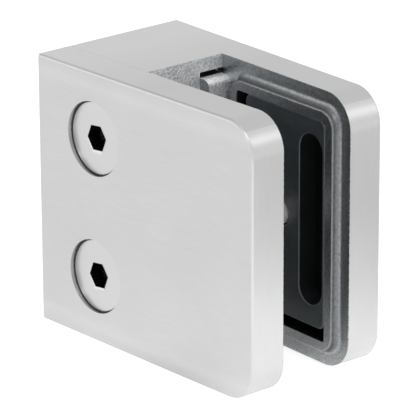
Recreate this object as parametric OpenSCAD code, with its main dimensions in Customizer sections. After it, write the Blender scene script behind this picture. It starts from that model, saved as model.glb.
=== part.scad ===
// Glass panel clamp, square, flat back: a cast body with a bolted cover, two rubber
// pads, two countersunk socket screws and a safety pin.
// Frame: +Z up, +X from the face that meets the post to the open mouth, -Y towards
// the cover with its screws. The origin is the middle of the post face.

/* [Clamp] */
// Depth from the post face to the open mouth
clamp_w = 50; // [44:0.5:70]
// Height
clamp_h = 45; // [42:0.5:70]
// Thickness at the post face, cover and body together
clamp_t = 28.85; // [26:0.05:36]
// Lean of each plate towards the mouth, in degrees
toe_in = 1.5; // [0:0.01:2]
// Corner radius at the mouth, seen from the front
corner_r = 5.5; // [3:0.1:8]
// Fillet round the outer edges of each plate
edge_r = 0.45; // [0.2:0.05:1.2]

/* [Cover and body] */
// Thickness of the cover plate
cover_t = 6.4; // [5.5:0.1:8]
// Thickness of the body's plate
back_t = 6.3; // [5.5:0.1:8]
// Depth of the web, from the post face to the slot
web_d = 18.9; // [18.5:0.1:24]
// Joint gap between the cover and its seat on the web
seam_gap = 0.02; // [0.01:0.01:0.1]

/* [Pad frame] */
// Plain rim between a plate's mouth edge and its raised frame
rim_w = 2.5; // [2:0.1:5]
// The same rim at top and bottom
rim_side = 2.7; // [2:0.1:5]
// Width of the raised frame round a pad
frame_w = 1.7; // [1.2:0.1:3]
// Height of the raised frame above the rim
frame_h = 1.45; // [0.6:0.05:2]
// Depth of the pad's pocket below the rim
pocket_d = 2.2; // [1:0.1:3]
// Outer corner radius of the raised frame
frame_r = 2.8; // [2:0.1:5]
// Corner radius of the pocket
pocket_r = 0.5; // [0.3:0.1:2]
// Rounding of the raised frame's outer arris
frame_edge_r = 0.3; // [0.1:0.05:0.5]
// Radius of the cast cove at the foot of the raised frame
frame_cove = 1; // [0.3:0.1:1.4]
// Distance from the slot's end wall to the raised frame
frame_set = 3.9; // [3:0.1:6]

/* [Rubber pads] */
// Clearance between a pad and the frame on the side of the mouth
pad_gap = 0.4; // [0.2:0.1:1]
// Clearance between a pad and the frame on the side of the web
pad_gap_web = 1.8; // [0.2:0.1:2.5]
// Clearance above a pad
pad_gap_top = 0.05; // [0.02:0.01:1]
// Clearance below a pad
pad_gap_low = 1.65; // [0.05:0.05:2.5]
// How far a pad's face lies below the crest of the frame
pad_set = 0.25; // [0.1:0.05:0.8]
// Corner radius of a pad
pad_r = 1.4; // [0.6:0.1:2]
// Rubber left between a long slot and the pad's side
slot_edge = 0.6; // [0.4:0.1:2]
// Rubber left between the pin's hole and the long slot on the side of the mouth
slot_rib = 2.5; // [1:0.1:4]
// Rubber left between the pin's hole and the long slot on the side of the web
slot_rib_web = 1.7; // [1:0.1:3]
// Rubber left beyond a long slot, at top and bottom together
slot_ends = 6.4; // [4:0.1:12]
// How far the long slots sit above the middle of a pad
slot_rise = 0.4; // [0:0.1:1]
// Rounding of the pad's rim
pad_edge_r = 0.4; // [0.2:0.05:0.6]

/* [Cover screws] */
// Thread diameter
screw_d = 6; // [5:0.5:6]
// Length, head included
screw_l = 16; // [14:1:18]
// Head diameter
head_d = 11.7; // [11:0.1:12.5]
// Straight land at the rim of the head
head_land = 0.3; // [0.1:0.05:0.5]
// Width across the flats of the hexagon socket
socket_af = 4; // [3:0.5:4]
// Depth of the socket
socket_d = 2.3; // [1.5:0.1:2.6]
// Screw axis to the top or bottom edge
screw_edge = 11; // [8:0.1:12]
// Screw axis to the post face
screw_x = 13.2; // [9:0.1:13.5]
// How far the head lies below the cover's face
head_sink = 0.9; // [0.3:0.05:1.2]
// Clearance round the head in its recess
head_gap = 0.25; // [0.1:0.05:0.6]
// Diametral clearance of the cover's hole round the thread
hole_gap = 0.6; // [0.3:0.05:1]
// Radial clearance of the thread in the body
thread_gap = 0.05; // [0.02:0.01:0.08]
// Depth of the threaded hole below the seat
thread_d = 14; // [12:0.5:17]

/* [Post fixing] */
// Diameter of the hole for the post bolt
bolt_d = 8.5; // [6.5:0.1:10.5]
// Diameter of the recess for the bolt's head
bolt_head_d = 13.6; // [11:0.1:15]
// Depth of the recess, from the slot's end wall
bolt_head_depth = 8.6; // [6:0.1:10]

/* [Glass stop] */
// How far the stop stands out from the web into the slot
stop_t = 2.2; // [1:0.1:2.8]
// How far the stop reaches from the body's plate into the slot
stop_reach = 4.6; // [3:0.1:6]
// Height of the lip above the stop
lip_h = 2.3; // [1.5:0.1:4]
// Height of the groove under the lip
groove_h = 0.9; // [0.4:0.1:1.2]
// Depth of the groove into the web
groove_d = 1.6; // [0.8:0.1:3]

/* [Safety pin] */
// Diameter of the pin
pin_d = 4; // [2.5:0.1:4.5]
// How far the pin sits from the middle of the pads towards the web
pin_set = 1.2; // [0:0.1:2]
// How far the pin sits above the post bolt
pin_rise = 0.5; // [0:0.1:1]
// Depth of its hole below the pocket's floor
pin_hole_d = 2.2; // [1.5:0.1:2.4]
// How far the pin's end reaches into the cover's pad
pin_entry = 1; // [0.5:0.1:1.6]
// Radial clearance of the pin in its hole
pin_fit = 0.02; // [0.01:0.01:0.05]
// Radial clearance of the pads round the pin
pin_gap = 0.3; // [0.2:0.05:0.8]

/* [Hidden] */
$fn = 64;
over = 1;                                  // how far a cut runs past a face
seat_gap = 0.02;                           // a pad above its pocket's floor
cone_gap = 0.05;                           // a screw head off its countersink
socket_break = 0.15;                       // broken edges of a screw's head and socket
socket_point = 0.6;                        // height of the cone at the socket's bottom
screw_tip = 0.7;                           // chamfer at a screw's tip
pin_round = 0.5;                           // rounding of the pin's ends

lead = corner_r + over;                    // plates start this far before the post face
plate_l = (clamp_w + back_t / 2 * sin(toe_in)) / cos(toe_in);  // plate length along its own face
front_y = -clamp_t / 2;                    // the cover's face at the post
lean = tan(toe_in);
seam_y = front_y + cover_t / cos(toe_in);  // the seam at the post face
half_h = clamp_h / 2;

frame_x0 = web_d + frame_set;              // raised frame, web side
frame_x1 = plate_l - rim_w;                // raised frame, mouth side
frame_z = half_h - rim_side;               // raised frame, half height
cove_r = min(frame_cove, frame_h - frame_edge_r);
pocket_x0 = frame_x0 + frame_w;
pocket_x1 = frame_x1 - frame_w;
pocket_z = frame_z - frame_w;

pad_x0 = pocket_x0 + pad_gap_web;
pad_x1 = pocket_x1 - pad_gap;
pad_z = pocket_z - (pad_gap_top + pad_gap_low) / 2;  // half height of a pad
pad_rise = (pad_gap_low - pad_gap_top) / 2;          // the middle of a pad
pad_t = pocket_d + frame_h - pad_set - seat_gap;
pad_mid = (pad_x0 + pad_x1) / 2;
way_r = pin_d / 2 + pin_gap;               // the hole round the pin
pin_mid = pad_mid - pin_set;               // the pin, along the body's plate
web_slot_x0 = pad_x0 + slot_edge;
web_slot_x1 = pin_mid - way_r - slot_rib_web;
mouth_slot_x0 = pin_mid + way_r + slot_rib;
mouth_slot_x1 = pad_x1 - slot_edge;
slot_l = 2 * pad_z - slot_ends;

shank_r = screw_d / 2 - thread_gap;
head_r = head_d / 2;
recess_r = head_r + head_gap;
hole_r = (screw_d + hole_gap) / 2;
screw_z = half_h - screw_edge;
screw_y = front_y + lean * screw_x;        // the cover's face at the screws
head_y = screw_y + head_sink;              // top of the screw heads
cone_y = head_y + head_land + cone_gap * sqrt(2) - head_gap;  // top of the countersink
seat_y = seam_y + lean * screw_x;          // the seat at the screws

// The pin crosses the slot square to its middle plane
pin_x = pin_mid * cos(toe_in) - back_t * sin(toe_in);
pin_y1 = -front_y - lean * pin_x - (back_t - pocket_d) / cos(toe_in) + pin_hole_d;
pin_y0 = front_y + lean * pin_x + (cover_t + frame_h - pad_set) / cos(toe_in) - pin_entry;

// A flat outline, drawn as seen from the front, made t thick towards +Y
module across(t) {
  rotate([-90, 0, 0]) linear_extrude(t) children();
}

// The frame of the cover's outer face: x along the face, y into the plate
module on_cover() {
  translate([0, front_y, 0]) rotate([0, 0, toe_in]) children();
}

// The same frame on the body's outer face
module on_back() {
  mirror([0, 1, 0]) on_cover() children();
}

// A cylinder or cone along +Y that starts at x, y, z
module along_y(x, y, z, l, r1, r2) {
  translate([x, y, z]) rotate([-90, 0, 0]) cylinder(h = l, r1 = r1, r2 = r2);
}

// Outline from x0 to x1 and from -z to z with rounded corners
module round_box(x0, x1, z, r) {
  translate([x0 + r, -z]) square([x1 - x0 - 2 * r, 2 * z]);
  translate([x0, r - z]) square([x1 - x0, 2 * z - 2 * r]);
  for (x = [x0 + r, x1 - r], y = [r - z, z - r]) translate([x, y]) circle(r);
}

// Outline of a long slot from x0 to x1 with round ends
module long_slot(x0, x1) {
  w = x1 - x0;
  straight = slot_l - w;
  translate([x0, -straight / 2]) square([w, straight]);
  for (s = [-1, 1]) translate([(x0 + x1) / 2, s * straight / 2]) circle(d = w);
}

// What a fillet of radius f takes off an edge: x runs outwards, y into the solid
module fillet_profile(f) {
  difference() {
    translate([-f, -over]) square([f + over, f + over]);
    translate([-f, f]) circle(f);
  }
}

// What a cove of radius f adds at the foot of a wall: x runs outwards, y up the wall
module cove_profile(f) {
  difference() {
    translate([-f / 2, -f / 2]) square(3 / 2 * f);
    translate([f, f]) circle(f);
  }
}

// Runs a profile all round a round_box: x of the profile points outwards, its y to +Y
module rim_sweep(x0, x1, z, r) {
  for (s = [0, 1]) mirror([0, 0, s]) {
    translate([x0 + r, 0, z]) rotate([90, 0, 90]) linear_extrude(x1 - x0 - 2 * r)
      mirror([1, -1]) children();
    translate([x1 - r, 0, z - r]) mirror([0, 0, 1]) rotate([-90, 0, 0])
      rotate_extrude(angle = 90) translate([r, 0]) children();
    translate([x0 + r, 0, z - r]) mirror([1, 0, 0]) mirror([0, 0, 1]) rotate([-90, 0, 0])
      rotate_extrude(angle = 90) translate([r, 0]) children();
  }
  translate([x1, 0, r - z]) linear_extrude(2 * z - 2 * r) children();
  translate([x0, 0, r - z]) linear_extrude(2 * z - 2 * r) mirror([1, 0]) children();
}

// A plate with its raised frame, cove and pocket, outer face at y = 0
module plate(t) {
  difference() {
    union() {
      across(t) round_box(-lead, plate_l, half_h, corner_r);
      translate([0, t / 2, 0]) across(t / 2 + frame_h)
        round_box(frame_x0, frame_x1, frame_z, frame_r);
      translate([0, t, 0]) rim_sweep(frame_x0, frame_x1, frame_z, frame_r) cove_profile(cove_r);
    }
    rim_sweep(-lead, plate_l, half_h, corner_r) fillet_profile(edge_r);
    translate([0, t + frame_h, 0]) mirror([0, 1, 0])
      rim_sweep(frame_x0, frame_x1, frame_z, frame_r) fillet_profile(frame_edge_r);
    translate([0, t - pocket_d, 0]) across(pocket_d + frame_h + over)
      round_box(pocket_x0, pocket_x1, pocket_z, pocket_r);
  }
}

// Keeps what lies beyond the post face
module past_post_face() {
  intersection() {
    children();
    translate([0, -clamp_t, -clamp_h]) cube([2 * clamp_w, 2 * clamp_t, 2 * clamp_h]);
  }
}

// The web between the plates, which carries the screws and the post bolt
module web() {
  y1 = -front_y - back_t / 2;
  translate([0, 0, -half_h]) linear_extrude(clamp_h)
    polygon([[0, seam_y + seam_gap], [web_d, seam_y + seam_gap + lean * web_d],
             [web_d, y1 - lean * web_d], [0, y1]]);
}

// The stop on the web that the glass edge runs up to, with rounded shoulders
module glass_stop() {
  z = half_h - lip_h - groove_h;
  r = stop_t / 2;
  rim_y = -front_y - back_t - lean * web_d;
  translate([0, rim_y - stop_reach, 0]) across(stop_reach + back_t / 2)
    round_box(web_d - 2 * r, web_d + stop_t, z, r);
}

// The groove between the stop and the lip above it
module lip_groove() {
  rim_y = -front_y - back_t - lean * web_d;
  for (s = [0, 1]) mirror([0, 0, s])
    translate([web_d - groove_d, rim_y - stop_reach, half_h - lip_h - groove_h])
      cube([groove_d + over, stop_reach + over / 4, groove_h]);
}

// Hole for the post bolt, with the recess for its head on the slot side
module bolt_hole() {
  translate([-over, 0, 0]) rotate([0, 90, 0]) cylinder(h = web_d + over, d = bolt_d);
  translate([web_d - bolt_head_depth, 0, 0]) rotate([0, 90, 0])
    cylinder(h = bolt_head_depth + stop_t + over, d = bolt_head_d);
}

// Threaded hole for a cover screw, with its drill point
module threaded_hole(z) {
  r = screw_d / 2;
  along_y(screw_x, seat_y - over, z, over + thread_d, r, r);
  along_y(screw_x, seat_y + thread_d, z, r / 2, r, 0);
}

// Stepped hole for a cover screw: recess, countersink and clearance
module screw_hole(z) {
  translate([screw_x, cone_y, z]) rotate([-90, 0, 0]) rotate_extrude() polygon([
    [0, front_y - over - cone_y], [recess_r, front_y - over - cone_y], [recess_r, 0],
    [hole_r, recess_r - hole_r], [hole_r, cover_t + over], [0, cover_t + over]]);
}

// Countersunk screw with a hexagon socket turned by the angle a
module screw(z, a) {
  hex_r = socket_af / 2 / cos(30);
  translate([screw_x, head_y, z]) rotate([-90, 0, 0]) difference() {
    rotate_extrude() polygon([
      [0, 0], [head_r - socket_break, 0], [head_r, socket_break], [head_r, head_land],
      [shank_r, head_land + head_r - shank_r], [shank_r, screw_l - screw_tip],
      [shank_r - screw_tip, screw_l], [0, screw_l]]);
    rotate(a) translate([0, 0, -over]) cylinder(h = over + socket_d, r = hex_r, $fn = 6);
    translate([0, 0, socket_d]) cylinder(h = socket_point, d1 = socket_af - socket_break, d2 = 0);
    translate([0, 0, -socket_break])
      cylinder(h = 2 * socket_break, r1 = socket_af / 2 + 2 * socket_break, r2 = socket_af / 2);
  }
}

// A rubber pad in a plate's pocket, t being the thickness of that plate
module pad(t) {
  y = t - pocket_d + seat_gap;
  translate([0, y, pad_rise]) difference() {
    across(pad_t) round_box(pad_x0, pad_x1, pad_z, pad_r);
    translate([0, pad_t, 0]) mirror([0, 1, 0])
      rim_sweep(pad_x0, pad_x1, pad_z, pad_r) fillet_profile(pad_edge_r);
    translate([0, -over, slot_rise]) across(pad_t + 2 * over) {
      long_slot(web_slot_x0, web_slot_x1);
      long_slot(mouth_slot_x0, mouth_slot_x1);
    }
  }
}

// The hole that the safety pin needs in the pads
module pin_way() {
  along_y(pin_x, -clamp_t, pin_rise, 2 * clamp_t, way_r, way_r);
}

module clamp_body() {
  pin_r = pin_d / 2 + pin_fit;
  color("gainsboro") past_post_face() difference() {
    union() {
      on_back() plate(back_t);
      web();
      glass_stop();
    }
    lip_groove();
    bolt_hole();
    for (s = [-1, 1]) threaded_hole(s * screw_z);
    along_y(pin_x, 0, pin_rise, pin_y1, pin_r, pin_r);
  }
}

module cover_plate() {
  color("gainsboro") past_post_face() difference() {
    on_cover() plate(cover_t);
    for (s = [-1, 1]) screw_hole(s * screw_z);
  }
}

module gasket_back() {
  color("#282c30") difference() {
    on_back() pad(back_t);
    pin_way();
  }
}

module gasket_front() {
  color("#282c30") difference() {
    on_cover() pad(cover_t);
    pin_way();
  }
}

module screw_upper() {
  color("silver") screw(screw_z, 3);
}

module screw_lower() {
  color("silver") screw(-screw_z, -2);
}

// Straight pin, pressed into the body's plate, with rounded ends
module safety_pin() {
  r = pin_d / 2;
  e = pin_round;
  color("silver") translate([pin_x, pin_y0, pin_rise]) rotate([-90, 0, 0]) rotate_extrude() {
    translate([0, e]) square([r, pin_y1 - pin_y0 - 2 * e]);
    square([r - e, pin_y1 - pin_y0]);
    intersection() {
      for (y = [e, pin_y1 - pin_y0 - e]) translate([r - e, y]) circle(e);
      square([r, pin_y1 - pin_y0]);
    }
  }
}

clamp_body();
cover_plate();
gasket_back();
gasket_front();
screw_upper();
screw_lower();
safety_pin();
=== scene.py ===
"""Looks of a glass panel clamp: cast steel body and cover, rubber pads, screws and a safety pin."""
import logging
import math
from dataclasses import dataclass
from enum import Enum

import bmesh
import bpy
from mathutils import Matrix, Vector


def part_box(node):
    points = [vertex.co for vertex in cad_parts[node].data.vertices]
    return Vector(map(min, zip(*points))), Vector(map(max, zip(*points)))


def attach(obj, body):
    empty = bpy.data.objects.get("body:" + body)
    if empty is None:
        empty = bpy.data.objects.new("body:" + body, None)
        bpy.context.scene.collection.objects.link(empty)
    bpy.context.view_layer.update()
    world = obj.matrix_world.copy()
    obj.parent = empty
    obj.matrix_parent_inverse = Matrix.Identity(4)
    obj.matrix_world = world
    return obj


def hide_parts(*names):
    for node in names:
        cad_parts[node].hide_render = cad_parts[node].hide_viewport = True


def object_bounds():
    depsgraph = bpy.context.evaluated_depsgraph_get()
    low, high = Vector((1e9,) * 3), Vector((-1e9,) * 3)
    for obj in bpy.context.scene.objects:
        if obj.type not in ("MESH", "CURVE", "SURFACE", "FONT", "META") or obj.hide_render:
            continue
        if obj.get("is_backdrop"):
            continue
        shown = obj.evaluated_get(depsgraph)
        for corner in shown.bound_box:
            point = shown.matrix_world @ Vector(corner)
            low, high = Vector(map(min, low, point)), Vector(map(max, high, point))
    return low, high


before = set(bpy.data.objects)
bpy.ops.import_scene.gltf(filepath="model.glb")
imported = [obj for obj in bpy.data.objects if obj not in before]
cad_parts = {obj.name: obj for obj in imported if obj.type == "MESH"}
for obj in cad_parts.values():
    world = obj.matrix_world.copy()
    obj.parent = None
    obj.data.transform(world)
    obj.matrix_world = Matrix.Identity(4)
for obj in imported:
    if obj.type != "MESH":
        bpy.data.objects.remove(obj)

MM = 0.001
SHARP = math.radians(32)
log = logging.getLogger("clamp")


def linear(hex_code: str) -> tuple[float, float, float, float]:
    """Turns an sRGB hex colour into linear values.

    Args:
        hex_code: six hex digits, such as "c8cacb".

    Returns:
        Red, green, blue and alpha.
    """
    parts = [int(hex_code[i:i + 2], 16) / 255 for i in (0, 2, 4)]
    flat = [c / 12.92 if c <= 0.04045 else ((c + 0.055) / 1.055) ** 2.4 for c in parts]
    return flat[0], flat[1], flat[2], 1.0


def add_node(tree: bpy.types.NodeTree, kind: str, settings: dict | None = None,
             links: dict | None = None) -> bpy.types.Node:
    """Adds one node with its settings and links.

    Args:
        tree: the node tree that takes the node.
        kind: the node's type name.
        settings: attributes by name, and input values by socket name or number.
        links: output sockets by the socket name or number that they feed.

    Returns:
        The new node.
    """
    node = tree.nodes.new(kind)
    for key, value in (settings or {}).items():
        if isinstance(key, str) and hasattr(node, key):
            setattr(node, key, value)
        else:
            node.inputs[key].default_value = value
    for key, output in (links or {}).items():
        tree.links.new(output, node.inputs[key])
    return node


def start_material(name: str) -> tuple[bpy.types.Material, bpy.types.NodeTree]:
    """Makes a material with no nodes yet.

    Args:
        name: the material's name.

    Returns:
        The material and its node tree.
    """
    material = bpy.data.materials.new(name)
    material.use_nodes = True
    material.node_tree.nodes.clear()
    return material, material.node_tree


class Grain(Enum):
    """Which way a ground face is brushed, as how much finer the grain is along each axis."""

    ALONG_X = (0.03, 1.0, 1.0)
    ALONG_Z = (1.0, 1.0, 0.03)


@dataclass(frozen=True)
class CastSteel:
    """Investment-cast stainless steel, ground to a satin outside and left as cast inside.

    Places are in millimetres from the middle of the post face.
    """

    name: str = "stainless_steel_satin_cast_painted_light"
    # Belt-ground faces, and how far the grain lightens and darkens them
    ground: str = "cfd0cf"
    ground_spread: float = 0.025
    ground_roughness: float = 0.34
    ground_relief_mm: float = 0.0025
    grit_mm: float = 0.2
    clouds_a_mm: float = 0.09
    # Cast faces between the plates
    cast: str = "a9acae"
    cast_spread: float = 0.25
    cast_roughness: float = 0.38
    cast_relief_mm: float = 0.05
    cast_grain_mm: float = 0.4
    # Blasted end of the web with its stop, its lighter colour partly the blasted finish and partly
    # painted light, and which faces turned towards -Y get painted shade there
    web: str = "e4e6e8"
    web_spread: float = 0.3
    web_roughness: float = 0.62
    web_relief_mm: float = 0.18
    painted_shade_facing: tuple[float, float] = (-0.4, -0.7)
    # Where the web ends, its stop ends, and the blasting fades out
    web_mm: float = 18.9
    stop_mm: float = 21.3
    blast_mm: tuple[float, float] = (21.4, 22.4)
    # Planes of the two plates' rims, the plates' lean, and how ragged the grinding ends there
    back_rim_mm: float = 8.133
    front_rim_mm: float = 8.033
    lean: float = math.tan(math.radians(1.5))
    border_mm: float = 0.06
    rags_a_mm: float = 1.6
    # The grooves in the web: how deep they go, and their middle and half reach up and down
    groove_mm: float = 14.9
    groove_z_mm: tuple[float, float] = (17.5, 4.8)
    # Painted shade on the narrow upper and lower faces, darker towards the mouth, and a painted
    # highlight line below the edges
    edge_painted_shade: float = 0.12
    edge_mm: tuple[float, float] = (6.0, 26.0)
    edge_up: float = 0.75
    painted_line_mm: float = 20.0
    painted_line_gain: float = 0.05
    painted_line_fade: float = 0.4
    # Painted shade on the frame's sides, and painted highlights on the arris at the mouth and on
    # the stop's top
    side_painted_shade: float = 0.52
    side_flat: tuple[float, float] = (0.95, 0.7)
    arris_mm: float = 49.7
    arris_painted_highlight: float = 0.9
    arris_speck_threshold: float = 0.47
    stop_painted_highlight: float = 0.3
    # The screws' recesses and the painted shade in them
    screw_x_mm: float = 13.2
    screw_z_mm: float = 11.5
    recess_mm: float = 6.13
    recess_y_mm: tuple[float, float] = (-11.32, 3.0)
    recess_painted_shade: float = 0.2
    # The pads' pockets: their middle and half reach along X and Y, half height, and the painted
    # shade on their floors and in the web's grooves
    pocket_x_mm: tuple[float, float] = (35.15, 12.75)
    pocket_y_mm: tuple[float, float] = (9.9115, 1.6885)
    pocket_z_mm: float = 19.4
    hollow_painted_shade: float = 0.9

    def make(self) -> bpy.types.Material:
        """Builds the material.

        Returns:
            The material, with the inside of the slot and of the screw recesses told by place.
        """
        material, tree = start_material(self.name)
        coordinates = add_node(tree, "ShaderNodeTexCoord").outputs
        mm = add_node(tree, "ShaderNodeVectorMath", {"operation": "SCALE", "Scale": 1 / MM},
                      {0: coordinates["Object"]}).outputs[0]
        axes = add_node(tree, "ShaderNodeSeparateXYZ", {}, {0: mm}).outputs
        facing = add_node(tree, "ShaderNodeSeparateXYZ", {}, {0: coordinates["Normal"]}).outputs
        inside = self._inside(tree, mm, axes)
        # Streaks of the grinding belt: a faint brushed grain that the eye reads as satin.
        streak = self._streaks(tree, mm, facing)
        # Cloudy stains from handling: they keep a large flat face from looking like plastic.
        cloud = add_node(tree, "ShaderNodeTexNoise", {"Scale": self.clouds_a_mm, "Detail": 3.0},
                         {"Vector": mm}).outputs["Fac"]
        # The skin that the mould leaves: pebbled, and dark in its pits.
        skin = add_node(tree, "ShaderNodeTexNoise", {"Scale": 1 / self.cast_grain_mm,
                        "Detail": 3.0, "Roughness": 0.6}, {"Vector": mm}).outputs["Fac"]
        # The web's end is blasted, so it is coarser than the plates' insides; its lighter colour is
        # partly the blasted finish and partly painted light, and faces turned towards -Y keep the
        # darker cast colour as painted shade.
        start, end = self.blast_mm
        blasted_and_lit = add_node(tree, "ShaderNodeMapRange", {1: start, 2: end, 3: 1.0, 4: 0.0},
                           {0: axes["X"]}).outputs[0]
        near, far = self.painted_shade_facing
        unshaded_facing = add_node(tree, "ShaderNodeMapRange", {1: near, 2: far, 3: 1.0, 4: 0.0},
                                 {0: facing["Y"]}).outputs[0]
        blasted_and_lit = self._math(tree, "MULTIPLY", blasted_and_lit, unshaded_facing)
        cast = self._shade(tree, self.cast, self.cast_spread, skin, cloud)
        web = self._shade(tree, self.web, self.web_spread, skin, cloud)
        ground = self._shade(tree, self.ground, self.ground_spread, streak, cloud)
        cast = self._mix(tree, blasted_and_lit, cast, web, "RGBA")
        colour = self._mix(tree, inside, ground, cast, "RGBA")
        # Painted light on the colour: painted shade in the hollows, on the frame's sides and on the
        # narrow faces, and painted highlights on the mouth's arris, the stop's top and a line below
        # the edges.
        painted_light = self._math(tree, "MULTIPLY", self._painted_shade(tree, axes, facing, inside),
                          self._frame(tree, axes, facing, inside, skin))
        painted_light = self._math(tree, "MULTIPLY", painted_light, self._painted_edge_light(tree, axes, facing))
        colour = add_node(tree, "ShaderNodeVectorMath", {"operation": "SCALE"},
                          {0: colour, "Scale": painted_light}).outputs[0]
        cast_rough = self._mix(tree, blasted_and_lit, self._range(tree, skin, self.cast_roughness, 0.06),
                               self._range(tree, skin, self.web_roughness, 0.08))
        rough = self._mix(tree, inside, self._range(tree, streak, self.ground_roughness, 0.03),
                          cast_rough)
        height = self._mix(tree, inside, streak, skin)
        relief = self._math(tree, "MULTIPLY_ADD", blasted_and_lit,
                            (self.web_relief_mm - self.cast_relief_mm) * MM,
                            self.cast_relief_mm * MM)
        relief = self._math(tree, "MAXIMUM", self._math(tree, "MULTIPLY", relief, inside),
                            self.ground_relief_mm * MM)
        bump = add_node(tree, "ShaderNodeBump", {"Strength": 1.0},
                        {"Height": height, "Distance": relief}).outputs["Normal"]
        shader = add_node(tree, "ShaderNodeBsdfPrincipled", {"Metallic": 1.0},
                          {"Base Color": colour, "Roughness": rough, "Normal": bump})
        add_node(tree, "ShaderNodeOutputMaterial", {}, {"Surface": shader.outputs[0]})
        return material

    def _mix(self, tree: bpy.types.NodeTree, factor: bpy.types.NodeSocket,
             first: bpy.types.NodeSocket, second: bpy.types.NodeSocket,
             kind: str = "FLOAT") -> bpy.types.NodeSocket:
        """Mixes two numbers, or two colours.

        Args:
            tree: the material's nodes.
            factor: 0 for the first, 1 for the second.
            first: the first input.
            second: the second input.
            kind: RGBA where they are colours.

        Returns:
            The mixture.
        """
        low, high, out = (6, 7, 2) if kind == "RGBA" else (2, 3, 0)
        return add_node(tree, "ShaderNodeMix", {"data_type": kind},
                        {0: factor, low: first, high: second}).outputs[out]

    def _range(self, tree: bpy.types.NodeTree, value: bpy.types.NodeSocket, middle: float,
               spread: float) -> bpy.types.NodeSocket:
        """Turns a pattern from 0 to 1 into numbers round a middle."""
        return add_node(tree, "ShaderNodeMapRange", {3: middle - spread, 4: middle + spread},
                        {0: value}).outputs[0]

    def _math(self, tree: bpy.types.NodeTree, kind: str,
              *values: float | bpy.types.NodeSocket) -> bpy.types.NodeSocket:
        """Does one sum on numbers and sockets.

        Args:
            tree: the material's nodes.
            kind: the operation's name.
            values: its inputs in order.

        Returns:
            The result.
        """
        fixed = {i: v for i, v in enumerate(values) if isinstance(v, (int, float))}
        linked = {i: v for i, v in enumerate(values) if i not in fixed}
        return add_node(tree, "ShaderNodeMath", {"operation": kind, **fixed}, linked).outputs[0]

    def _inside(self, tree: bpy.types.NodeTree, mm: bpy.types.NodeSocket,
                axes: bpy.types.NodeOutputs) -> bpy.types.NodeSocket:
        """Gives 1 between the plates' rims beyond the web, with a slightly ragged border.

        Args:
            tree: the material's nodes.
            mm: the place in millimetres.
            axes: its three coordinates.

        Returns:
            The mask.
        """
        rag = add_node(tree, "ShaderNodeTexNoise", {"Scale": self.rags_a_mm, "Detail": 2.0},
                       {"Vector": mm}).outputs["Fac"]
        rag = add_node(tree, "ShaderNodeMapRange", {1: 0.3, 2: 0.7, 3: 0.0,
                       4: self.border_mm}, {0: rag}).outputs[0]
        tilt = self._math(tree, "MULTIPLY", axes["X"], self.lean)
        within = []
        for side, rim in (("ADD", self.back_rim_mm), ("SUBTRACT", self.front_rim_mm)):
            out = self._math(tree, side, tilt, axes["Y"])
            out = self._math(tree, "SUBTRACT", out, rag)
            within.append(self._math(tree, "LESS_THAN", out, rim))
        beyond = self._math(tree, "ADD", axes["X"], rag)
        beyond = self._math(tree, "GREATER_THAN", beyond, self.web_mm - 0.01)
        groove = self._math(tree, "ABSOLUTE", axes["Z"])
        groove = self._math(tree, "COMPARE", groove, *self.groove_z_mm)
        groove = self._math(tree, "MULTIPLY", groove,
                            self._math(tree, "GREATER_THAN", axes["X"], self.groove_mm))
        beyond = self._math(tree, "MAXIMUM", beyond, groove)
        between = self._math(tree, "MULTIPLY", *within)
        between = self._math(tree, "MULTIPLY", between, beyond)
        return self._math(tree, "MAXIMUM", between, self._pocket(tree, axes))

    def _painted_edge_light(self, tree: bpy.types.NodeTree, axes: bpy.types.NodeOutputs,
                facing: bpy.types.NodeOutputs) -> bpy.types.NodeSocket:
        """Gives painted shade on the plates' narrow upper and lower faces, darker towards the
        mouth, and a painted highlight line below the edges.

        Args:
            tree: the material's nodes.
            axes: the place in millimetres.
            facing: the surface's direction.

        Returns:
            The factor on the colour.
        """
        up = self._math(tree, "ABSOLUTE", facing["Z"])
        up = self._math(tree, "GREATER_THAN", up, self.edge_up)
        start, end = self.edge_mm
        out = add_node(tree, "ShaderNodeMapRange", {1: start, 2: end, 3: 0.0,
                       4: -self.edge_painted_shade}, {0: axes["X"]}).outputs[0]
        edge_shade = self._math(tree, "MULTIPLY_ADD", out, up, 1.0)
        # Painted highlight: a brighter line below the upper and lower edges.
        line = self._math(tree, "SUBTRACT", self._math(tree, "ABSOLUTE", axes["Z"]), self.painted_line_mm)
        line = self._math(tree, "MULTIPLY", line, line)
        line = self._math(tree, "POWER", self.painted_line_fade, line)
        return self._math(tree, "MULTIPLY_ADD", line, self.painted_line_gain, edge_shade)

    def _frame(self, tree: bpy.types.NodeTree, axes: bpy.types.NodeOutputs,
               facing: bpy.types.NodeOutputs, inside: bpy.types.NodeSocket,
               skin: bpy.types.NodeSocket) -> bpy.types.NodeSocket:
        """Gives painted shade on the sides of the frame, and painted highlights on the arris at the
        mouth and on the stop's top.

        Args:
            tree: the material's nodes.
            axes: the place in millimetres.
            facing: the surface's direction.
            inside: the mask of the cast inside.
            skin: the cast skin's pattern.

        Returns:
            The factor on the colour.
        """
        turned = self._math(tree, "ABSOLUTE", facing["Y"])
        flat, steep = self.side_flat
        side = add_node(tree, "ShaderNodeMapRange", {1: flat, 2: steep, 3: 0.0,
                        4: -self.side_painted_shade}, {0: turned}).outputs[0]
        beyond = self._math(tree, "GREATER_THAN", axes["X"], self.stop_mm)
        beyond = self._math(tree, "MULTIPLY", beyond, inside)
        side = self._math(tree, "MULTIPLY_ADD", side, beyond, 1.0)
        # Painted highlight: bright specks, broken up by the skin pattern, along the rims' outer
        # arris at the mouth.
        end = self._math(tree, "GREATER_THAN", axes["X"], self.arris_mm)
        arris_glint_specks = self._math(tree, "GREATER_THAN", skin, self.arris_speck_threshold)
        arris_glint_specks = self._math(tree, "MULTIPLY", self._math(tree, "MULTIPLY", end, arris_glint_specks), inside)
        side = self._math(tree, "MULTIPLY_ADD", arris_glint_specks, self.arris_painted_highlight, side)
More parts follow.
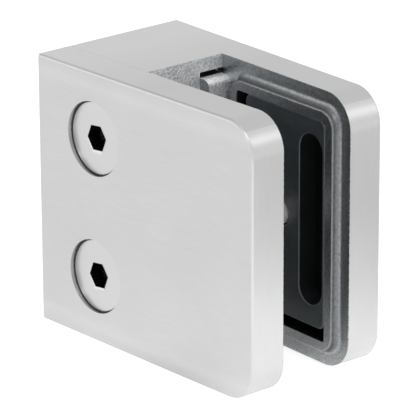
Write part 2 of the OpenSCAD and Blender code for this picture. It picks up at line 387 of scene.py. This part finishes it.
        # Painted highlight on the stop's upper side, where the faces turn up.
        top = self._math(tree, "GREATER_THAN", facing["Z"], 0.5)
        stop = self._math(tree, "LESS_THAN", axes["X"], self.stop_mm)
        stop = self._math(tree, "MULTIPLY", self._math(tree, "MULTIPLY", stop, top), inside)
        return self._math(tree, "MULTIPLY_ADD", stop, self.stop_painted_highlight, side)

    def _painted_shade(self, tree: bpy.types.NodeTree, axes: bpy.types.NodeOutputs,
               facing: bpy.types.NodeOutputs,
               inside: bpy.types.NodeSocket) -> bpy.types.NodeSocket:
        """Gives painted shade in the hollows: the screw recesses, the grooves in the web and the
        pockets' floors.

        Args:
            tree: the material's nodes.
            axes: the place in millimetres.
            facing: the surface's direction.
            inside: the mask of the cast inside.

        Returns:
            The factor on the colour.
        """
        recess_shade = self._math(tree, "MULTIPLY_ADD", self._recess(tree, axes), -self.recess_painted_shade, 1.0)
        groove = self._math(tree, "LESS_THAN", axes["X"], self.web_mm - 0.1)
        groove = self._math(tree, "MULTIPLY", inside, groove)
        floor = self._math(tree, "ABSOLUTE", facing["Y"])
        floor = self._math(tree, "GREATER_THAN", floor, 0.5)
        floor = self._math(tree, "MULTIPLY", floor, self._pocket(tree, axes))
        deep = self._math(tree, "MAXIMUM", groove, floor)
        deep = self._math(tree, "MULTIPLY_ADD", deep, -self.hollow_painted_shade, 1.0)
        return self._math(tree, "MULTIPLY", recess_shade, deep)

    def _pocket(self, tree: bpy.types.NodeTree,
                axes: bpy.types.NodeOutputs) -> bpy.types.NodeSocket:
        """Gives 1 in the pockets that hold the pads.

        Args:
            tree: the material's nodes.
            axes: the place in millimetres.

        Returns:
            The mask.
        """
        x = self._math(tree, "COMPARE", axes["X"], *self.pocket_x_mm)
        z = self._math(tree, "COMPARE", axes["Z"], 0.0, self.pocket_z_mm)
        far = self._math(tree, "ABSOLUTE", axes["Y"])
        far = self._math(tree, "MULTIPLY_ADD", axes["X"], self.lean, far)
        y = self._math(tree, "COMPARE", far, *self.pocket_y_mm)
        return self._math(tree, "MULTIPLY", self._math(tree, "MULTIPLY", x, z), y)

    def _recess(self, tree: bpy.types.NodeTree,
                axes: bpy.types.NodeOutputs) -> bpy.types.NodeSocket:
        """Gives 1 inside the round recesses of the screws.

        Args:
            tree: the material's nodes.
            axes: the place in millimetres.

        Returns:
            The mask.
        """
        x = self._math(tree, "SUBTRACT", axes["X"], self.screw_x_mm)
        z = self._math(tree, "SUBTRACT", self._math(tree, "ABSOLUTE", axes["Z"]), self.screw_z_mm)
        far = self._math(tree, "ADD", self._math(tree, "MULTIPLY", x, x),
                         self._math(tree, "MULTIPLY", z, z))
        near = self._math(tree, "LESS_THAN", far, self.recess_mm ** 2)
        tilt = self._math(tree, "MULTIPLY_ADD", axes["X"], -self.lean, axes["Y"])
        deep = self._math(tree, "COMPARE", tilt, *self.recess_y_mm)
        return self._math(tree, "MULTIPLY", near, deep)

    def _streaks(self, tree: bpy.types.NodeTree, mm: bpy.types.NodeSocket,
                 facing: bpy.types.NodeOutputs) -> bpy.types.NodeSocket:
        """Gives the brushed grain: along X on the faces and edges, upright at the mouth.

        Args:
            tree: the material's nodes.
            mm: the place in millimetres.
            facing: the surface's direction.

        Returns:
            The grain's height, from 0 to 1.
        """
        grains = []
        for grain in (Grain.ALONG_X, Grain.ALONG_Z):
            stretched = add_node(tree, "ShaderNodeVectorMath", {"operation": "MULTIPLY",
                                 1: grain.value}, {0: mm}).outputs[0]
            grains.append(add_node(tree, "ShaderNodeTexNoise", {"Scale": 1 / self.grit_mm,
                          "Detail": 2.0, "Roughness": 0.6}, {"Vector": stretched}).outputs["Fac"])
        across = self._math(tree, "ABSOLUTE", facing["X"])
        mouth = add_node(tree, "ShaderNodeMapRange", {1: 0.5, 2: 0.8}, {0: across}).outputs[0]
        return self._mix(tree, mouth, *grains)

    def _shade(self, tree: bpy.types.NodeTree, hex_code: str, spread: float,
               fine: bpy.types.NodeSocket, broad: bpy.types.NodeSocket) -> bpy.types.NodeSocket:
        """Gives a colour that wanders a little with a fine and a broad pattern.

        Args:
            tree: the material's nodes.
            hex_code: the middle colour.
            spread: how far the fine pattern lightens and darkens it, as a share.
            fine: the fine pattern.
            broad: the broad pattern.

        Returns:
            The colour.
        """
        fine = add_node(tree, "ShaderNodeMapRange", {1: 0.3, 2: 0.7, 3: 1 - spread,
                        4: 1 + spread}, {0: fine}).outputs[0]
        broad = add_node(tree, "ShaderNodeMapRange", {1: 0.3, 2: 0.7, 3: 0.985, 4: 1.015},
                         {0: broad}).outputs[0]
        both = self._math(tree, "MULTIPLY", fine, broad)
        return add_node(tree, "ShaderNodeVectorMath", {"operation": "SCALE",
                        0: linear(hex_code)[:3]}, {"Scale": both}).outputs[0]


@dataclass(frozen=True)
class TurnedSteel:
    """Bright stainless steel of screws and pins, cold-headed and barrel-polished."""

    name: str = "stainless_steel_bright"
    colour: str = "d3d4d3"
    roughness: float = 0.3
    dent_mm: float = 0.8

    def make(self) -> bpy.types.Material:
        """Builds the material.

        Returns:
            The material.
        """
        material, tree = start_material(self.name)
        place = add_node(tree, "ShaderNodeTexCoord").outputs["Object"]
        # Barrel polishing leaves tiny dents, so highlights break up a little.
        dents = add_node(tree, "ShaderNodeTexNoise", {"Scale": 1 / (self.dent_mm * MM),
                         "Detail": 3.0}, {"Vector": place}).outputs["Fac"]
        rough = add_node(tree, "ShaderNodeMapRange", {3: self.roughness - 0.05,
                         4: self.roughness + 0.07}, {0: dents}).outputs[0]
        bump = add_node(tree, "ShaderNodeBump", {"Strength": 0.5, "Distance": 0.008 * MM},
                        {"Height": dents}).outputs["Normal"]
        shader = add_node(tree, "ShaderNodeBsdfPrincipled", {"Metallic": 1.0,
                          "Base Color": linear(self.colour)}, {"Roughness": rough,
                                                               "Normal": bump})
        add_node(tree, "ShaderNodeOutputMaterial", {}, {"Surface": shader.outputs[0]})
        return material


@dataclass(frozen=True)
class SocketFilmAndShade:
    """The dark lining of a screw's socket: partly residue, partly painted shade in the deep socket.
    """

    name: str = "socket_residue_and_painted_shade"
    colour: str = "25262a"
    roughness: float = 0.45
    smear_mm: float = 0.5

    def make(self) -> bpy.types.Material:
        """Builds the material.

        Returns:
            The material.
        """
        material, tree = start_material(self.name)
        place = add_node(tree, "ShaderNodeTexCoord").outputs["Object"]
        # Where the key rubbed, the film thins to bare steel in thin smears along the flats.
        along = add_node(tree, "ShaderNodeVectorMath", {"operation": "MULTIPLY",
                         1: (1.0, 0.15, 1.0)}, {0: place}).outputs[0]
        smear = add_node(tree, "ShaderNodeTexNoise", {"Scale": 1 / (self.smear_mm * MM),
                         "Detail": 3.0}, {"Vector": along}).outputs["Fac"]
        factor = add_node(tree, "ShaderNodeMapRange", {1: 0.45, 2: 0.75, 3: 0.6, 4: 4.0},
                          {0: smear}).outputs[0]
        colour = add_node(tree, "ShaderNodeVectorMath", {"operation": "SCALE",
                          0: linear(self.colour)[:3]}, {"Scale": factor}).outputs[0]
        bump = add_node(tree, "ShaderNodeBump", {"Strength": 0.5, "Distance": 0.02 * MM},
                        {"Height": smear}).outputs["Normal"]
        shader = add_node(tree, "ShaderNodeBsdfPrincipled", {"Metallic": 1.0,
                          "Roughness": self.roughness}, {"Base Color": colour, "Normal": bump})
        add_node(tree, "ShaderNodeOutputMaterial", {}, {"Surface": shader.outputs[0]})
        return material


@dataclass(frozen=True)
class MouldedRubber:
    """Black EPDM rubber, compression-moulded, so its skin is even with a soft low sheen."""

    name: str = "epdm_rubber_with_painted_light"
    colour: str = "474d51"
    roughness: float = 0.42
    blooms_a_mm: float = 0.35
    # Painted light by how far the surface turns to the glass: painted shade on the walls, a painted
    # highlight on the arrises, the faces as they are
    painted_light: tuple[tuple[float, float], ...] = ((0.0, 0.15), (0.3, 0.15), (0.6, 3.5), (0.85, 3.5),
                                             (0.99, 1.0), (1.0, 1.0))

    def make(self) -> bpy.types.Material:
        """Builds the material.

        Returns:
            The material.
        """
        material, tree = start_material(self.name)
        coordinates = add_node(tree, "ShaderNodeTexCoord").outputs
        # Talc and handling leave a faint cloudy bloom on the skin.
        bloom = add_node(tree, "ShaderNodeTexNoise", {"Scale": self.blooms_a_mm / MM,
                         "Detail": 5.0}, {"Vector": coordinates["Object"]}).outputs["Fac"]
        factor = add_node(tree, "ShaderNodeMapRange", {1: 0.3, 2: 0.7, 3: 0.85, 4: 1.2},
                          {0: bloom}).outputs[0]
        # Painted highlight on the arrises and painted shade on the slot walls, told by how far the
        # surface turns from the glass.
        out = add_node(tree, "ShaderNodeSeparateXYZ", {}, {0: coordinates["Normal"]}).outputs["Y"]
        out = add_node(tree, "ShaderNodeMath", {"operation": "ABSOLUTE"}, {0: out}).outputs[0]
        ramp = add_node(tree, "ShaderNodeValToRGB", {}, {0: out})
        for spot, grey in self.painted_light:
            element = ramp.color_ramp.elements.new(spot)
            element.color = (grey, grey, grey, 1.0)
        factor = add_node(tree, "ShaderNodeMath", {"operation": "MULTIPLY"},
                          {0: factor, 1: ramp.outputs[0]}).outputs[0]
        colour = add_node(tree, "ShaderNodeVectorMath", {"operation": "SCALE",
                          0: linear(self.colour)[:3]}, {"Scale": factor}).outputs[0]
        rough = add_node(tree, "ShaderNodeMapRange", {3: self.roughness - 0.08,
                         4: self.roughness + 0.08}, {0: bloom}).outputs[0]
        bump = add_node(tree, "ShaderNodeBump", {"Strength": 0.4, "Distance": 0.02 * MM},
                        {"Height": bloom}).outputs["Normal"]
        shader = add_node(tree, "ShaderNodeBsdfPrincipled", {"IOR": 1.5},
                          {"Base Color": colour, "Roughness": rough, "Normal": bump})
        add_node(tree, "ShaderNodeOutputMaterial", {}, {"Surface": shader.outputs[0]})
        return material


def dress(node: str, material: bpy.types.Material) -> None:
    """Gives a node of the frame its finish.

    Args:
        node: the node's name.
        material: the finish.
    """
    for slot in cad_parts[node].material_slots:
        slot.material = material
    log.info("%s wears %s", node, material.name)


def make_piece(name: str, shape: bmesh.types.BMesh, place: Matrix,
               finishes: list[bpy.types.Material]) -> bpy.types.Object:
    """Turns a mesh in millimetres into a smooth-shaded piece with crisp edges.

    Args:
        name: the piece's name.
        shape: its mesh, which is freed.
        place: the matrix from its own millimetres to the frame's metres.
        finishes: its materials, in the order of the faces' material numbers.

    Returns:
        The piece.
    """
    bmesh.ops.remove_doubles(shape, verts=shape.verts, dist=1e-4)
    bmesh.ops.dissolve_degenerate(shape, edges=shape.edges, dist=1e-5)
    bmesh.ops.transform(shape, matrix=place, verts=shape.verts)
    bmesh.ops.recalc_face_normals(shape, faces=shape.faces)
    mesh = bpy.data.meshes.new(name)
    shape.to_mesh(mesh)
    shape.free()
    for face in mesh.polygons:
        face.use_smooth = True
    mesh.set_sharp_from_angle(angle=SHARP)
    for finish in finishes:
        mesh.materials.append(finish)
    piece = bpy.data.objects.new(name, mesh)
    bpy.context.scene.collection.objects.link(piece)
    log.info("%s: %d faces in %s", name, len(mesh.polygons), finishes[0].name)
    return piece


def join_rings(shape: bmesh.types.BMesh, first: list[bmesh.types.BMVert],
               second: list[bmesh.types.BMVert], finish: int = 0) -> None:
    """Skins the band between two closed rings of as many points.

    Args:
        shape: the mesh that holds both rings.
        first: the points of one ring.
        second: the points of the other.
        finish: the material number of the band.
    """
    for i in range(len(first)):
        j = (i + 1) % len(first)
        shape.faces.new((first[i], first[j], second[j], second[i])).material_index = finish


@dataclass(frozen=True)
class Loop:
    """A rounded rectangle in millimetres, down to a slot with round ends or a circle."""

    x: float
    z: float
    half_x: float
    half_z: float
    corner: float

    def points(self, grow: float, steps: int = 10) -> list[tuple[float, float]]:
        """Walks round the loop.

        Args:
            grow: how far the walk lies outside the loop.
            steps: how many steps make a corner.

        Returns:
            The points, four corners of them.
        """
        walk = []
        signs = ((1, 1), (-1, 1), (-1, -1), (1, -1))
        for quarter, (sign_x, sign_z) in enumerate(signs):
            for step in range(steps + 1):
                angle = math.pi / 2 * (quarter + step / steps)
                walk.append((self.x + sign_x * (self.half_x - self.corner)
                             + (self.corner + grow) * math.cos(angle),
                             self.z + sign_z * (self.half_z - self.corner)
                             + (self.corner + grow) * math.sin(angle)))
        return walk


@dataclass
class Pad:
    """A moulded rubber pad with two relief slots and a hole for the pin, in millimetres."""

    node: str
    body: str
    side: int
    length: float = 19.2
    height: float = 34.5
    thick: float = 3.38
    corner: float = 1.4
    rim: float = 0.4
    arris: float = 0.22
    slot_edge: float = 0.6
    web_slot: float = 3.8
    mouth_slot: float = 5.4
    slot_height: float = 28.1
    slot_rise: float = 0.4
    hole: float = 2.3
    hole_x: float = -1.2
    hole_z: float = -0.3
    lean: float = math.radians(1.5)

    def build(self, rubber: bpy.types.Material) -> bpy.types.Object:
        """Builds the pad in its pocket.

        Args:
            rubber: its finish.

        Returns:
            The pad.
        """
        shape = bmesh.new()
        backs = []
        faces = []
        for loop, inward, edge in self._loops():
            rings = self._wall(shape, loop, inward, edge)
            backs.append(rings[0])
            faces.append(rings[-1])
        self._cap(shape, backs)
        self._cap(shape, faces)
        pad = make_piece(self.node.replace("gasket", "rubber_pad"), shape, self._place(), [rubber])
        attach(pad, self.body)
        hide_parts(self.node)
        return pad

    def _loops(self) -> list[tuple[Loop, int, float]]:
        """Lists the outline and the holes.

        Returns:
            The loops, each with the side that its rubber lies on and the radius of its rim.
        """
        end = self.length / 2 - self.slot_edge
        web = Loop(self.web_slot / 2 - end, self.slot_rise, self.web_slot / 2,
                   self.slot_height / 2, self.web_slot / 2)
        mouth = Loop(end - self.mouth_slot / 2, self.slot_rise, self.mouth_slot / 2,
                     self.slot_height / 2, self.mouth_slot / 2)
        hole = Loop(self.hole_x, self.hole_z, self.hole, self.hole, self.hole)
        outline = Loop(0, 0, self.length / 2, self.height / 2, self.corner)
        return [(outline, -1, self.rim), (web, 1, self.arris), (mouth, 1, self.arris),
                (hole, 1, self.arris)]

    def _wall(self, shape: bmesh.types.BMesh, loop: Loop, inward: int,
              edge: float) -> list[list[bmesh.types.BMVert]]:
        """Raises the wall of a loop from the back of the pad to its rounded rim.

        Args:
            shape: the mesh that takes the wall.
            loop: its outline.
            inward: -1 where the rim rounds towards the middle of the loop, 1 where it opens.
            edge: the radius of the rim.

        Returns:
            The rings, from the back to the face.
        """
        levels = [(0.0, 0.0)]
        for step in range(6):
            angle = math.pi / 2 * step / 5
            levels.append((inward * edge * (1 - math.cos(angle)),
                           self.thick - edge + edge * math.sin(angle)))
        rings = [[shape.verts.new((x, depth, z)) for x, z in loop.points(grow)]
                 for grow, depth in levels]
        for low, high in zip(rings, rings[1:]):
            join_rings(shape, low, high)
        return rings

    def _cap(self, shape: bmesh.types.BMesh, rings: list[list[bmesh.types.BMVert]]) -> None:
        """Fills between the outline and the holes.

        Args:
            shape: the mesh that holds them.
            rings: the outline and the holes, on one level.
        """
        rim = [shape.edges.get((ring[i], ring[(i + 1) % len(ring)]))
               for ring in rings for i in range(len(ring))]
        bmesh.ops.triangle_fill(shape, edges=rim, use_beauty=True)

    def _place(self) -> Matrix:
        """Finds the pad's place: the middle of its box, leaned and turned with its plate.

        Returns:
            The matrix from the pad's own millimetres to the frame's metres.
        """
        low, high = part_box(self.node)
        middle = Vector([(a + b) / 2 for a, b in zip(low, high)])
        turn = Matrix.Rotation(-self.side * self.lean, 4, "Z")
        size = Matrix.Diagonal((MM, -self.side * MM, MM, 1))
        centred = Matrix.Translation((0, -self.thick / 2, 0))
        return Matrix.Translation(middle) @ turn @ size @ centred


@dataclass
class SocketScrew:
    """A countersunk screw with a hexagon socket and a rolled thread, in millimetres."""

    node: str
    body: str
    turn: float
    head: float = 5.85
    land: float = 0.6
    edge: float = 0.08
    proud: float = 0.3
    flats: float = 4.0
    socket: float = 2.3
    drill: float = 0.6
    broach: float = 0.3
    face: float = 3.0
    shank: float = 2.95
    pitch: float = 1.0
    groove: float = 0.52
    crest: float = 0.15
    length: float = 16.3
    tip: float = 0.7
    point: float = 0.01
    relief: float = 0.075
    sides: int = 96
    rows_a_turn: int = 10

    def build(self, steel: bpy.types.Material, lining: bpy.types.Material) -> bpy.types.Object:
        """Builds the screw in its seat.

        Args:
            steel: the finish of the head and the thread.
            lining: the finish of the socket's inside.

        Returns:
            The screw.
        """
        shape = bmesh.new()
        bottom = [(self.point, self.socket + self.drill)] * self.sides
        floor = [(self.flats / 2 - self.relief, self.socket)] * self.sides
        hexagon = [self._hexagon(i, self.flats / 2) for i in range(self.sides)]
        wall = [(r, self.socket) for r in hexagon]
        mouth = [(r, self.broach / 2) for r in hexagon]
        rings = [self._ring(shape, ring) for ring in (bottom, floor, wall, mouth)]
        for first, second in zip(rings, rings[1:]):
            join_rings(shape, first, second, 1)
        last = rings[-1]
        chamfer = [(r + self._hexagon(i, self.broach), 0.0) for i, r in enumerate(hexagon)]
        for ring in [chamfer] + self._outside():
            verts = self._ring(shape, ring)
            join_rings(shape, last, verts)
            last = verts
        screw = make_piece(self.node.replace("screw", "socket_screw"), shape, self._place(),
                           [steel, lining])
        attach(screw, self.body)
        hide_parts(self.node)
        return screw

    def _angle(self, i: int) -> float:
        """Gives the angle of a side, clockwise from +X as the head is seen."""
        return math.tau * i / self.sides

    def _hexagon(self, i: int, reach: float) -> float:
        """Gives the radius at a side of a hexagon whose flats are so far from its middle."""
        return reach / math.cos(self._angle(i) % (math.pi / 3) - math.pi / 6)

    def _ring(self, shape: bmesh.types.BMesh,
              ring: list[tuple[float, float]]) -> list[bmesh.types.BMVert]:
        """Adds the points of a ring.

        Args:
            shape: the mesh that takes them.
            ring: the radius and the depth of each.

        Returns:
            The points.
        """
        verts = []
        for i, (r, depth) in enumerate(ring):
            angle = self._angle(i)
            verts.append(shape.verts.new((r * math.cos(angle), depth, -r * math.sin(angle))))
        return verts

    def _outside(self) -> list[list[tuple[float, float]]]:
        """Lists the rings from the head's face over its edge and down to the tip.

        Returns:
            The rings, each a radius and a depth for every side.
        """
        plain = [(self.face, 0.0)]
        for step in range(5):
            angle = math.pi / 2 * step / 4
            plain.append((self.head - self.edge + self.edge * math.sin(angle),
                          self.edge - self.edge * math.cos(angle)))
        neck = self.land + self.head - self.shank
        plain += [(self.head, self.land), (self.shank, neck)]
        rings = [[spot] * self.sides for spot in plain]
        rows = round((self.length - neck) / self.pitch * self.rows_a_turn)
        for row in range(1, rows + 1):
            depth = neck + (self.length - neck) * row / rows
            rings.append([(self._thread(i, depth, neck), depth) for i in range(self.sides)])
        rings.append([(self.point, self.length)] * self.sides)
        return rings

    def _thread(self, i: int, depth: float, neck: float) -> float:
        """Gives the radius of the thread, with its run-out below the head and its tip.

        Args:
            i: the side.
            depth: how far below the head's face.
            neck: where the head's cone ends.

        Returns:
            The radius.
        """
        phase = (depth / self.pitch - i / self.sides) % 1
        flank = min(1.0, max(0.0, abs(2 * phase - 1) * (1 + 2 * self.crest) - self.crest))
        fade = min(1.0, (depth - neck) / self.pitch)
        tip = self.shank - max(0.0, depth - self.length + self.tip)
        return min(tip, self.shank - self.groove * flank * fade)

    def _place(self) -> Matrix:
        """Finds the screw's place: the middle of its head, turned as it was tightened.

        Returns:
            The matrix from the screw's own millimetres to the frame's metres.
        """
        low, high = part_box(self.node)
        head = Vector(((low[0] + high[0]) / 2, low[1] - self.proud * MM, (low[2] + high[2]) / 2))
        turn = Matrix.Rotation(math.radians(self.turn), 4, "Y")
        return Matrix.Translation(head) @ turn @ Matrix.Scale(MM, 4)


@dataclass
class Viewpoint:
    """The camera: a long lens that looks down on the corner between cover and mouth."""

    aim: tuple[float, float, float] = (25.0, -0.231, -0.259)
    distance: float = 547.64
    azimuth: float = 0.867252
    elevation: float = 0.343777
    roll: float = -0.003723
    lens: float = 298.463
    sensor: float = 36.0

    def place(self) -> bpy.types.Object:
        """Makes the camera and gives it to the scene.

        Returns:
            The camera.
        """
        back = Vector((math.sin(self.azimuth) * math.cos(self.elevation),
                       -math.cos(self.azimuth) * math.cos(self.elevation),
                       math.sin(self.elevation)))
        right = Vector((0, 0, 1)).cross(back).normalized()
        up = back.cross(right)
        c, s = math.cos(self.roll), math.sin(self.roll)
        axes = Matrix((c * right + s * up, c * up - s * right, back)).transposed().to_4x4()
        camera = bpy.data.objects.new("viewpoint", bpy.data.cameras.new("viewpoint"))
        camera.data.lens = self.lens
        camera.data.sensor_width = self.sensor
        camera.data.clip_start = 0.01
        spot = (Vector(self.aim) + back * self.distance) * MM
        camera.matrix_world = Matrix.Translation(spot) @ axes
        bpy.context.scene.collection.objects.link(camera)
        bpy.context.scene.camera = camera
        return camera


@dataclass(frozen=True)
class Pool:
    """A soft patch of more or less light on the floor, in millimetres."""

    x: float
    y: float
    spread: float
    gain: float


@dataclass(frozen=True)
class Shade:
    """A soft patch of more or less light in the surround, round a direction."""

    toward: tuple[float, float, float]
    tightness: float
    gain: float


@dataclass(frozen=True)
class Lamp:
    """A soft light that faces the clamp, in metres, with a radiance of 1 for a white face."""

    name: str
    spot: tuple[float, float, float]
    width: float
    height: float
    radiance: float


@dataclass
class Studio:
    """A pale floor, a white surround and soft lights."""

    floor_half: float = 3.0
    floor_seen: float = 1.03
    floor_shown: float = 0.8
    floor_tint: str = "f2f2f2"
    world_seen: float = 0.95
    world_light: float = 0.4
    pools: tuple[Pool, ...] = (Pool(66.0, 9.0, 25.0, 0.31), Pool(90.0, 45.0, 28.0, -0.11),
                               Pool(125.0, 80.0, 35.0, -0.28), Pool(12.0, -24.0, 12.0, 0.05),
                               Pool(84.0, 12.0, 18.0, 0.12), Pool(95.0, -62.0, 30.0, 0.55),
                               Pool(33.0, 0.0, 9.0, -0.85))
    shades: tuple[Shade, ...] = (Shade((-0.72, -0.1, 0.69), 14.0, -0.32),)
    lamps: tuple[Lamp, ...] = (Lamp("key", (-0.55, -0.62, 0.10), 0.34, 0.30, 0.75),
                               Lamp("strip", (0.60, 0.56, 0.46), 0.10, 0.34, 1.55),
                               Lamp("front", (-0.08, -0.75, 0.13), 0.18, 0.18, 1.2),
                               Lamp("over", (0.36, -0.20, 0.52), 0.20, 0.20, 3.0))

    def build(self) -> None:
        """Makes the floor, the surround and the lamps."""
        self._floor()
        self._world()
        for lamp in self.lamps:
            self._lamp(lamp)

    def _floor(self) -> None:
        """Makes the floor that the clamp stands on.

        The camera sees it white with a faint contact shadow, and steel sees the pools on it.
        """
        low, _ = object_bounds()
        mesh = bpy.data.meshes.new("floor")
        shape = bmesh.new()
        bmesh.ops.create_grid(shape, x_segments=8, y_segments=8, size=self.floor_half)
        shape.to_mesh(mesh)
        shape.free()
        floor = bpy.data.objects.new("floor", mesh)
        floor.location.z = low[2]
        bpy.context.scene.collection.objects.link(floor)
        material, tree = start_material("pale_card")
        path = add_node(tree, "ShaderNodeLightPath").outputs
        glossy = add_node(tree, "ShaderNodeMath", {"operation": "MAXIMUM"},
                          {0: path["Is Glossy Ray"], 1: path["Is Transmission Ray"]}).outputs[0]
        pooled = add_node(tree, "ShaderNodeEmission", {"Color": linear("ffffff")},
                          {"Strength": self._pooled(tree)}).outputs[0]
        shown = add_node(tree, "ShaderNodeMath", {"operation": "MULTIPLY", 1: self.floor_shown},
                         {0: path["Is Camera Ray"]}).outputs[0]
        white = add_node(tree, "ShaderNodeEmission", {"Color": linear("ffffff")},
                         {"Strength": shown}).outputs[0]
        card = add_node(tree, "ShaderNodeBsdfDiffuse",
                        {"Color": linear(self.floor_tint)}).outputs[0]
        both = add_node(tree, "ShaderNodeAddShader", {}, {0: white, 1: card}).outputs[0]
        seen = add_node(tree, "ShaderNodeMixShader", {}, {0: glossy, 1: both, 2: pooled})
        add_node(tree, "ShaderNodeOutputMaterial", {}, {"Surface": seen.outputs[0]})
        floor.data.materials.append(material)
        floor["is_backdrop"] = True

    def _pooled(self, tree: bpy.types.NodeTree) -> bpy.types.NodeSocket:
        """Gives the floor's brightness as steel reflects it, with its pools.

        Args:
            tree: the floor's nodes.

        Returns:
            The strength.
        """
        place = add_node(tree, "ShaderNodeTexCoord").outputs["Object"]
        total = None
        for pool in self.pools:
            away = add_node(tree, "ShaderNodeVectorMath", {"operation": "DISTANCE",
                            1: (pool.x * MM, pool.y * MM, 0.0)}, {0: place}).outputs["Value"]
            share = add_node(tree, "ShaderNodeMath", {"operation": "DIVIDE",
                             1: pool.spread * MM * math.sqrt(2)}, {0: away}).outputs[0]
            share = add_node(tree, "ShaderNodeMath", {"operation": "POWER", 1: 2.0},
                             {0: share}).outputs[0]
            fall = add_node(tree, "ShaderNodeMath", {"operation": "POWER", 0: 1 / math.e},
                            {1: share}).outputs[0]
            part = add_node(tree, "ShaderNodeMath", {"operation": "MULTIPLY_ADD", 1: pool.gain,
                            2: self.floor_seen}, {0: fall})
            if total is not None:
                tree.links.new(total, part.inputs[2])
            total = part.outputs[0]
        return total

    def _world(self) -> None:
        """Makes the white surround."""
        world = bpy.data.worlds.new("surround")
        bpy.context.scene.world = world
        world.use_nodes = True
        tree = world.node_tree
        tree.nodes.clear()
        path = add_node(tree, "ShaderNodeLightPath").outputs
        glossy = add_node(tree, "ShaderNodeMath", {"operation": "MAXIMUM"},
                          {0: path["Is Glossy Ray"], 1: path["Is Transmission Ray"]}).outputs[0]
        strength = add_node(tree, "ShaderNodeMapRange", {3: self.world_light},
                            {0: glossy, 4: self._shaded(tree)}).outputs[0]
        strength = add_node(tree, "ShaderNodeMath", {"operation": "MAXIMUM"},
                            {0: strength, 1: path["Is Camera Ray"]}).outputs[0]
        sky = add_node(tree, "ShaderNodeBackground", {"Color": linear("ffffff")},
                       {"Strength": strength}).outputs[0]
        add_node(tree, "ShaderNodeOutputWorld", {}, {"Surface": sky})

    def _shaded(self, tree: bpy.types.NodeTree) -> bpy.types.NodeSocket:
        """Gives the surround's brightness as steel reflects it, with its shades.

        Args:
            tree: the surround's nodes.

        Returns:
            The strength.
        """
        toward = add_node(tree, "ShaderNodeTexCoord").outputs["Generated"]
        total = None
        for shade in self.shades:
            near = add_node(tree, "ShaderNodeVectorMath", {"operation": "DOT_PRODUCT",
                            1: shade.toward}, {0: toward}).outputs["Value"]
            near = add_node(tree, "ShaderNodeMath", {"operation": "MULTIPLY_ADD",
                            1: shade.tightness, 2: -shade.tightness}, {0: near}).outputs[0]
            near = add_node(tree, "ShaderNodeMath", {"operation": "EXPONENT"},
                            {0: near}).outputs[0]
            part = add_node(tree, "ShaderNodeMath", {"operation": "MULTIPLY_ADD",
                            1: shade.gain, 2: self.world_seen}, {0: near})
            if total is not None:
                tree.links.new(total, part.inputs[2])
            total = part.outputs[0]
        return total

    def _lamp(self, lamp: Lamp) -> None:
        """Makes a soft light.

        Args:
            lamp: its place, size and brightness.
        """
        data = bpy.data.lights.new(lamp.name, "AREA")
        data.shape = "RECTANGLE"
        data.size = lamp.width
        data.size_y = lamp.height
        data.energy = lamp.radiance * math.pi * lamp.width * lamp.height
        light = bpy.data.objects.new(lamp.name, data)
        spot = Vector(lamp.spot)
        facing = spot.to_track_quat("Z", "Y").to_matrix().to_4x4()
        light.matrix_world = Matrix.Translation(spot) @ facing
        bpy.context.scene.collection.objects.link(light)


def main() -> None:
    """Builds the looks of the clamp piece by piece."""
    logging.basicConfig(level=logging.INFO, format="%(message)s")
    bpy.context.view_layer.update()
    Viewpoint().place()
    Studio().build()
    steel = CastSteel().make()
    bright = TurnedSteel().make()
    rubber = MouldedRubber().make()
    socket_film_and_shade = SocketFilmAndShade().make()
    for node in ("clamp_body", "cover_plate"):
        dress(node, steel)
    # The pin's steel is lighter and rougher; the lighter colour is a painted highlight, so the
    # pin's visible sliver shows a glint.
    dress("safety_pin", TurnedSteel("stainless_steel_pin_painted_glint", "f2f2f0", 0.6).make())
    Pad("gasket_back", "body", 1).build(rubber)
    Pad("gasket_front", "cover", -1).build(rubber)
    SocketScrew("screw_upper", "upper_screw", -6.0).build(bright, socket_film_and_shade)
    SocketScrew("screw_lower", "lower_screw", -7.0).build(bright, socket_film_and_shade)
    scene = bpy.context.scene
    scene.view_settings.view_transform = "Standard"


if __name__ == "__main__":
    main()
